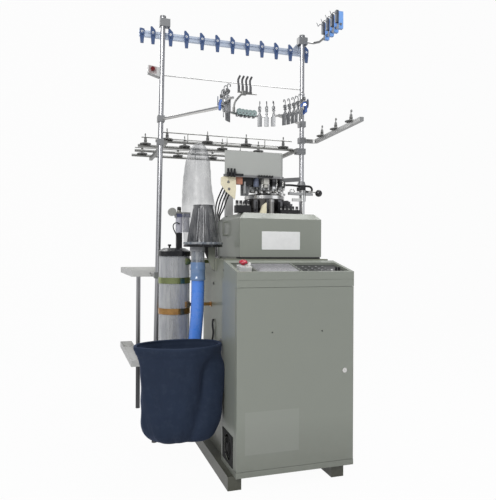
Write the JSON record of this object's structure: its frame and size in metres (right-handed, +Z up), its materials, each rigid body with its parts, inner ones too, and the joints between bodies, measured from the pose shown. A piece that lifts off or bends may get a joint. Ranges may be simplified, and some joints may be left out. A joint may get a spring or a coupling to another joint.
{
  "type": "hosiery knitting machine",
  "caption": "Sock knitting machine: cabinet, knitting head, suction sleeve, clear canister, cloth bag and a tall yarn creel with tensioners.",
  "frame": {"origin": "on the floor, under the centre of the whole machine", "axes": "+Z up, +X to the right of a person facing the cabinet door, -Y towards that person"},
  "size_m": [1.2248, 1.8034, 2.512],
  "materials": {
    "paint": "satin grey-green coat",
    "can_paint": "satin light grey coat",
    "tray_paint": "satin light grey coat",
    "zinc": "bright zinc plate",
    "chrome": "bright plated",
    "steel": "turned and ground",
    "cast": "machined, oiled",
    "alu": "mill finish",
    "brass": "passivated",
    "black": "moulded",
    "black_gloss": "moulded",
    "panel": "glossy membrane",
    "keypad": "membrane keys",
    "light_plastic": "moulded",
    "red": "moulded",
    "cream": "moulded",
    "hose": "smooth extruded",
    "rubber": "smooth",
    "cone": "moulded, half clear",
    "film": "thin clear film",
    "clear": "clear wall",
    "cloth": "plain weave",
    "dark_blue": "moulded",
    "light_blue": "moulded"
  },
  "bodies": {
    "stand": {"base_rails": "paint", "pedestal_frame": "paint", "control_cabinet": "paint", "console_tray": "paint", "console_panel": "panel", "keypad_panel": "keypad", "stop_box": "light_plastic", "fan_grille": "black", "controller_box": "zinc", "main_motor": "cast", "drive_belt": "rubber", "head_housing": "paint", "cam_box": "cast", "sinker_ring": "chrome", "yarn_fingers": "steel", "selector_units": "black", "valve_banks": "black", "cream_brackets": "cream", "head_plate": "steel", "head_columns": "zinc", "can_cover": "can_paint", "air_lines": "rubber", "outlet_flange": "black_gloss", "inner_cone": "cone", "clear_sleeve": "film", "clear_tube": "clear", "blue_hose": "hose", "canister": "clear", "canister_lid": "black_gloss", "filter_mesh": "zinc", "canister_straps": "brass", "regulator": "black", "bag_hoop": "zinc", "collection_bag": "cloth", "creel_posts": "chrome", "creel_trays": "tray_paint", "post_clamps": "alu", "cone_rack": "zinc", "cone_holders": "alu", "top_bar": "alu", "yarn_guides": "dark_blue", "side_arms": "alu", "stop_sensors": "light_blue", "indicator_lamp": "light_plastic", "tensioner_ring": "chrome", "tensioners": "alu"},
    "door": {"cabinet_door": "paint"},
    "lock": {"door_lock": "chrome"},
    "stop": {"stop_button": "red"},
    "speed": {"speed_knob": "black"},
    "mode": {"mode_knob": "black"},
    "fan": {"fan_rotor": "black"},
    "cylinder": {"cylinder_drive": "steel", "needle_cylinder": "steel", "needles": "chrome"},
    "motor": {"motor_pulley": "alu"},
    "dial_unit": {"dial": "steel"},
    "arm": {"swing_arm": "steel"},
    "lever": {"lever_handle": "black_gloss"},
    "air_knob": {"regulator_knob": "black"}
  },
  "joints": [
    {"name": "door_hinge", "type": "hinge", "parent": "stand", "child": "door", "pos_m": [-0.17068, -0.89235, 0.53], "axis": [0, 0, -1], "range_deg": [0, 105]},
    {"name": "door_lock_turn", "type": "hinge", "parent": "door", "child": "lock", "pos_m": [0.37132, -0.88835, 0.53], "axis": [0, -1, 0], "range_deg": [0, 90]},
    {"name": "stop_press", "type": "slide", "parent": "stand", "child": "stop", "axis": [0, 0.2179, -0.976], "range_m": [0, 0.005], "stiffness_N_per_m": 900, "springref_m": -0.002},
    {"name": "speed_turn", "type": "hinge", "parent": "stand", "child": "speed", "pos_m": [0.35732, -0.83394, 1.02438], "axis": [0, -0.2179, 0.976], "range_deg": [-135, 135]},
    {"name": "mode_turn", "type": "hinge", "parent": "stand", "child": "mode", "pos_m": [0.37332, -0.83394, 1.02438], "axis": [0, -0.2179, 0.976], "range_deg": [-135, 135]},
    {"name": "fan_spin", "type": "hinge", "parent": "stand", "child": "fan", "pos_m": [-0.14868, -0.76235, 0.168], "axis": [1, 0, 0], "continuous": true},
    {"name": "cylinder_spin", "type": "hinge", "parent": "stand", "child": "cylinder", "pos_m": [0.13132, -0.39835, 1.3], "axis": [0, 0, 1], "continuous": true},
    {"name": "motor_spin", "type": "hinge", "parent": "stand", "child": "motor", "pos_m": [0.27132, -0.29835, 1.1], "axis": [0, 0, 1], "continuous": true},
    {"name": "dial_spin", "type": "hinge", "parent": "stand", "child": "dial_unit", "pos_m": [0.13132, -0.39835, 1.42], "axis": [0, 0, 1], "continuous": true},
    {"name": "arm_swing", "type": "hinge", "parent": "stand", "child": "arm", "pos_m": [0.32132, -0.49835, 1.43], "axis": [0, 0, 1], "range_deg": [-75, 0]},
    {"name": "lever_turn", "type": "hinge", "parent": "arm", "child": "lever", "pos_m": [0.36132, -0.50135, 1.436], "axis": [0, 0, 1], "range_deg": [-35, 35]},
    {"name": "air_knob_turn", "type": "hinge", "parent": "stand", "child": "air_knob", "pos_m": [-0.32868, -0.28635, 1.34], "axis": [0, 0, 1], "range_deg": [-180, 180]}
  ],
  "couplings": [
    {"joint": "motor_spin", "follows": "cylinder_spin", "ratio": 2.5},
    {"joint": "dial_spin", "follows": "cylinder_spin", "ratio": 1}
  ]
}
